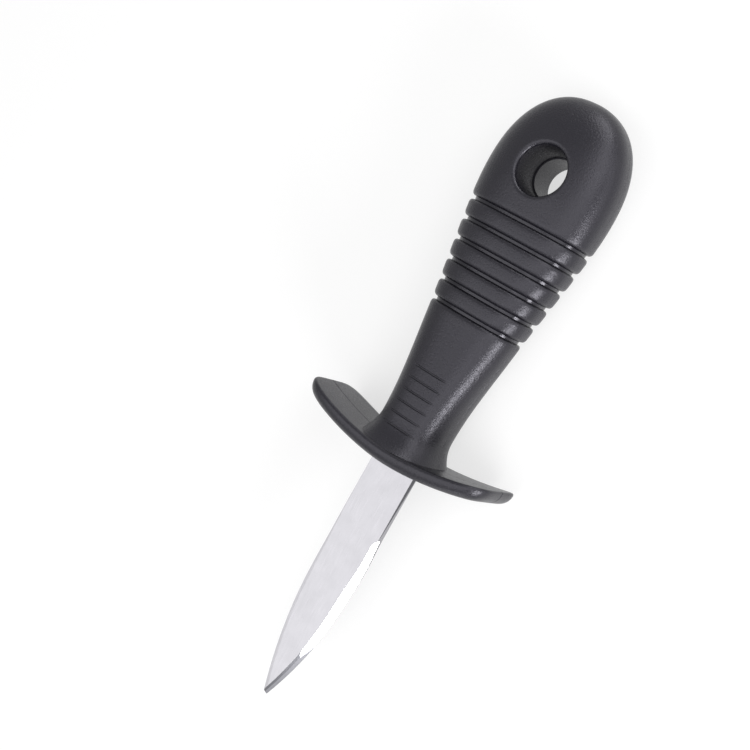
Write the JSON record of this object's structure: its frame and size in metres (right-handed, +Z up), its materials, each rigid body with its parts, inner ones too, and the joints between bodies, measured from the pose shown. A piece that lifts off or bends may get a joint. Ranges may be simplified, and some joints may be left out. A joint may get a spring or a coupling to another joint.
{
  "type": "oyster knife",
  "caption": "Short pointed oyster knife with a black moulded handle, a bowed guard, a ribbed grip, a thumb rest and a hanging hole.",
  "frame": {"origin": "middle of the knife's length and width, on the surface that it lies on with its back half down", "axes": "+X along the knife from the point to the butt, +Y across the blade towards its unground edge, +Z up out of the front face with the thumb rest"},
  "size_m": [0.1636, 0.0548, 0.0252],
  "materials": {
    "blade_steel": "satin",
    "handle_plastic": "fine moulded grain"
  },
  "bodies": {
    "root": {"blade": "blade_steel", "handle_front": "handle_plastic", "handle_back": "handle_plastic"}
  },
  "joints": []
}
